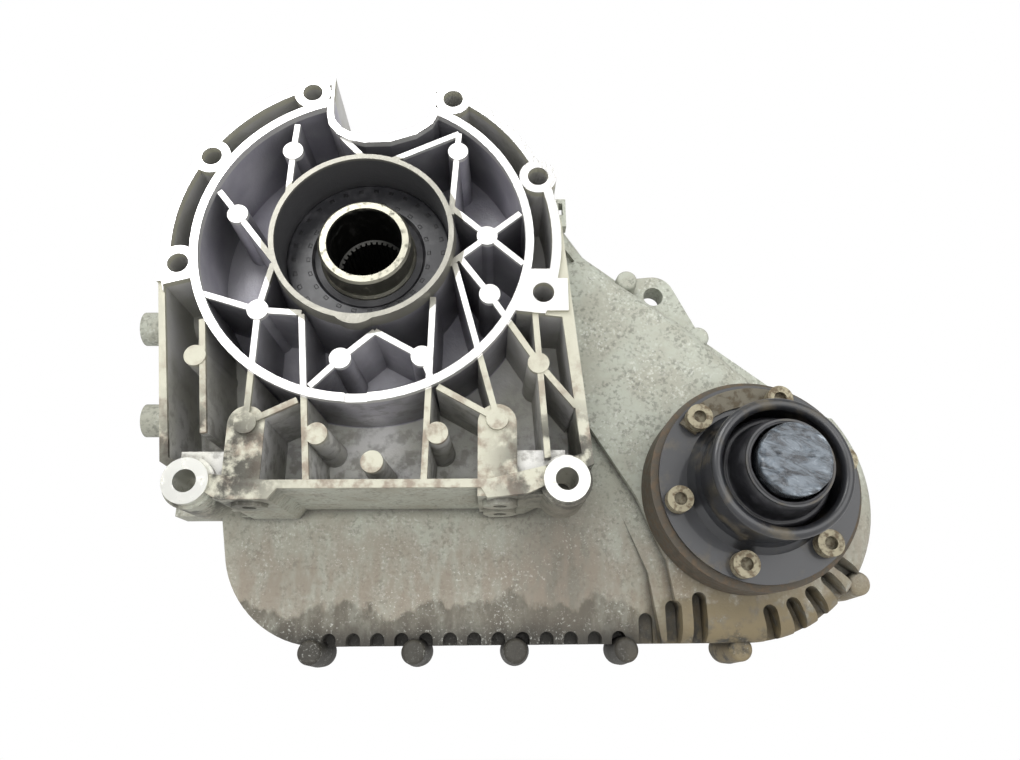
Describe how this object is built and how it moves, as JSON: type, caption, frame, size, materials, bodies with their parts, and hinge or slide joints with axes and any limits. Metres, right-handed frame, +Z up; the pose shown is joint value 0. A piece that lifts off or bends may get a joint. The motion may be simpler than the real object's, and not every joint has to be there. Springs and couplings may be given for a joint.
{
  "type": "transfer case",
  "caption": "Chain-driven transfer case with a ribbed open adapter housing, an offset front output with a ball joint, and a rear output flange.",
  "frame": {"origin": "centre of the input shaft's axis at the machined mating face of the adapter", "axes": "+X towards the front output, +Y to the rear along the shafts, +Z up"},
  "size_m": [0.4074, 0.2362, 0.3264],
  "materials": {
    "cast_aluminium": "sand-cast, shot-blasted",
    "zinc_plated_steel": "zinc plated",
    "machined_steel": "turned and ground",
    "forged_steel": "forged, part machined",
    "bearing_steel": "ground and polished",
    "chain_steel": "blanked and blued",
    "bush_bronze": "turned",
    "seal_rubber": "moulded",
    "boot_rubber": "moulded",
    "wrap_film": "clear stretch film",
    "magnet_ferrite": "sintered",
    "phosphated_steel": "black phosphate"
  },
  "bodies": {
    "case": {"front_case": "cast_aluminium", "rear_case": "cast_aluminium", "case_bolts": "zinc_plated_steel", "case_dowels": "machined_steel", "mounting_sleeves": "zinc_plated_steel", "fill_plug": "zinc_plated_steel", "drain_plug": "zinc_plated_steel", "sump_magnet": "magnet_ferrite", "breather": "zinc_plated_steel", "input_bearing_outer_ring": "bearing_steel", "input_seal": "seal_rubber", "bearing_circlip": "phosphated_steel", "rear_bearing_outer_ring": "bearing_steel", "rear_seal": "seal_rubber", "front_output_bearing_outer_ring": "bearing_steel", "tail_bearing_outer_ring": "bearing_steel", "front_output_seal": "seal_rubber", "chain": "chain_steel"},
    "front_drive": {"drive_sprocket": "forged_steel", "sprocket_bush": "bush_bronze", "sun_gear": "forged_steel"},
    "input": {"input_shaft": "machined_steel", "input_bearing_inner_ring": "bearing_steel", "input_bearing_balls": "bearing_steel", "thrust_washer": "machined_steel", "planet_carrier": "machined_steel", "planet_pins": "machined_steel"},
    "planet_1": {"planet_gear_1": "forged_steel"},
    "planet_2": {"planet_gear_2": "forged_steel"},
    "planet_3": {"planet_gear_3": "forged_steel"},
    "planet_4": {"planet_gear_4": "forged_steel"},
    "rear_output": {"ring_gear": "forged_steel", "rear_output_shaft": "machined_steel", "rear_bearing_inner_ring": "bearing_steel", "rear_bearing_balls": "bearing_steel", "rear_flange": "forged_steel", "rear_flange_nut": "phosphated_steel"},
    "front_output": {"front_output_shaft": "machined_steel", "driven_sprocket": "forged_steel", "front_output_bearing_inner_ring": "bearing_steel", "front_output_bearing_balls": "bearing_steel", "tail_bearing_inner_ring": "bearing_steel", "tail_bearing_rollers": "bearing_steel", "companion_flange": "forged_steel", "front_flange_nut": "phosphated_steel", "joint_outer_race": "forged_steel", "boot_can": "zinc_plated_steel", "joint_bolts": "zinc_plated_steel", "bolt_plate": "zinc_plated_steel"},
    "joint_ball_cage": {"joint_cage": "forged_steel", "joint_balls": "bearing_steel"},
    "propshaft_stub": {"joint_inner_race": "forged_steel", "stub_shaft": "machined_steel", "end_wrap": "wrap_film", "boot_clamp": "zinc_plated_steel", "joint_boot": "boot_rubber"}
  },
  "joints": [
    {"name": "front_drive_spin", "type": "hinge", "parent": "case", "child": "front_drive", "pos_m": [0, 0, 0], "axis": [0, 1, 0], "continuous": true, "deforming": ["chain"]},
    {"name": "differential_spin", "type": "hinge", "parent": "front_drive", "child": "input", "pos_m": [0, 0, 0], "axis": [0, 1, 0], "continuous": true},
    {"name": "planet_1_spin", "type": "hinge", "parent": "input", "child": "planet_1", "pos_m": [0.052, 0, 0], "axis": [0, 1, 0], "continuous": true},
    {"name": "planet_2_spin", "type": "hinge", "parent": "input", "child": "planet_2", "pos_m": [0, 0, 0.052], "axis": [0, 1, 0], "continuous": true},
    {"name": "planet_3_spin", "type": "hinge", "parent": "input", "child": "planet_3", "pos_m": [-0.052, 0, 0], "axis": [0, 1, 0], "continuous": true},
    {"name": "planet_4_spin", "type": "hinge", "parent": "input", "child": "planet_4", "pos_m": [0, 0, -0.052], "axis": [0, 1, 0], "continuous": true},
    {"name": "rear_output_spin", "type": "hinge", "parent": "input", "child": "rear_output", "pos_m": [0, 0, 0], "axis": [0, 1, 0], "continuous": true},
    {"name": "front_output_spin", "type": "hinge", "parent": "case", "child": "front_output", "pos_m": [0.2014, 0, -0.1249], "axis": [0, 1, 0], "continuous": true},
    {"name": "joint_bend", "type": "hinge", "parent": "front_output", "child": "propshaft_stub", "pos_m": [0.2014, 0.036, -0.1249], "axis": [1, 0, 0], "range_deg": [-10, 10], "deforming": ["joint_boot"]},
    {"name": "cage_bend", "type": "hinge", "parent": "front_output", "child": "joint_ball_cage", "pos_m": [0.2014, 0.036, -0.1249], "axis": [1, 0, 0], "range_deg": [-5, 5]}
  ],
  "couplings": [
    {"joint": "planet_1_spin", "follows": "differential_spin", "ratio": 2.7143},
    {"joint": "planet_2_spin", "follows": "differential_spin", "ratio": 2.7143},
    {"joint": "planet_3_spin", "follows": "differential_spin", "ratio": 2.7143},
    {"joint": "planet_4_spin", "follows": "differential_spin", "ratio": 2.7143},
    {"joint": "rear_output_spin", "follows": "differential_spin", "ratio": 0.57576},
    {"joint": "front_output_spin", "follows": "front_drive_spin", "ratio": 1},
    {"joint": "cage_bend", "follows": "joint_bend", "ratio": 0.5}
  ]
}
